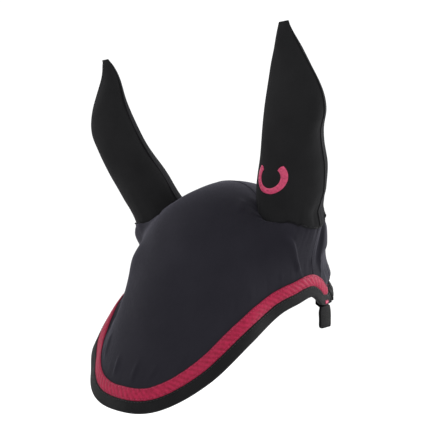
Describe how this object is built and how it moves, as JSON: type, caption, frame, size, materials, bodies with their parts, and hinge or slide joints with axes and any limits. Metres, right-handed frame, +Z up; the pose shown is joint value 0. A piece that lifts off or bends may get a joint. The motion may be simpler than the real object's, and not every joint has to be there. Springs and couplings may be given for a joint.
{
  "type": "horse fly veil",
  "caption": "Cloth cap over a horse's poll and forehead with two ear sleeves, braided and bound hem, elastic back edge and two hanging tabs.",
  "frame": {"origin": "under the cloth at the poll, the top of the horse's head between the ears", "axes": "+X to the horse's left, -Y towards its nose, +Z up"},
  "size_m": [0.3142, 0.2784, 0.346],
  "materials": {
    "cap_cloth": "matt soft-shell cloth, navy black, fine weave",
    "ear_cloth": "matt stretch jersey, black",
    "seam_tape": "matt narrow tape, black",
    "binding_tape": "ribbed woven tape, black, slightly glossy ribs",
    "elastic": "woven elastic, off-white",
    "braid": "flat plaited braid, deep pink, satin thread",
    "braid_thread": "sewing thread, deep pink",
    "dark_thread": "sewing thread, black",
    "embroidery": "satin-stitched embroidery thread, pink"
  },
  "bodies": {
    "root": {"front_panel": "cap_cloth", "rear_panel": "cap_cloth", "crown_seam": "seam_tape", "left_side_seam": "seam_tape", "right_side_seam": "seam_tape", "front_binding": "binding_tape", "rear_binding": "binding_tape", "rear_elastic": "elastic", "hem_braid": "braid", "braid_stitch_upper": "braid_thread", "braid_stitch_lower": "braid_thread", "binding_stitch": "dark_thread", "left_ear_base": "ear_cloth", "right_ear_base": "ear_cloth", "left_ear_base_seam": "seam_tape", "right_ear_base_seam": "seam_tape", "left_tab_tack": "embroidery", "right_tab_tack": "embroidery"},
    "left_ear": {"left_ear_front": "ear_cloth", "left_ear_back": "ear_cloth", "left_ear_inner_seam": "seam_tape", "left_ear_outer_seam": "seam_tape", "left_ear_emblem": "embroidery"},
    "right_ear": {"right_ear_front": "ear_cloth", "right_ear_back": "ear_cloth", "right_ear_inner_seam": "seam_tape", "right_ear_outer_seam": "seam_tape"},
    "left_tab": {"left_tab": "binding_tape"},
    "right_tab": {"right_tab": "binding_tape"}
  },
  "joints": [
    {"name": "left_ear_tilt", "type": "hinge", "parent": "root", "child": "left_ear", "pos_m": [0.089, -0.017, -0.031], "axis": [1, 0, 0], "range_deg": [-30, 12]},
    {"name": "right_ear_tilt", "type": "hinge", "parent": "root", "child": "right_ear", "pos_m": [-0.089, -0.017, -0.031], "axis": [1, 0, 0], "range_deg": [-30, 12]},
    {"name": "left_tab_swing", "type": "hinge", "parent": "root", "child": "left_tab", "pos_m": [0.10303, 0.01817, -0.12733], "axis": [0.1736, -0.9848, 0], "range_deg": [-30, 90]},
    {"name": "right_tab_swing", "type": "hinge", "parent": "root", "child": "right_tab", "pos_m": [-0.10303, 0.01817, -0.12733], "axis": [0.1736, 0.9848, 0], "range_deg": [-30, 90]}
  ]
}
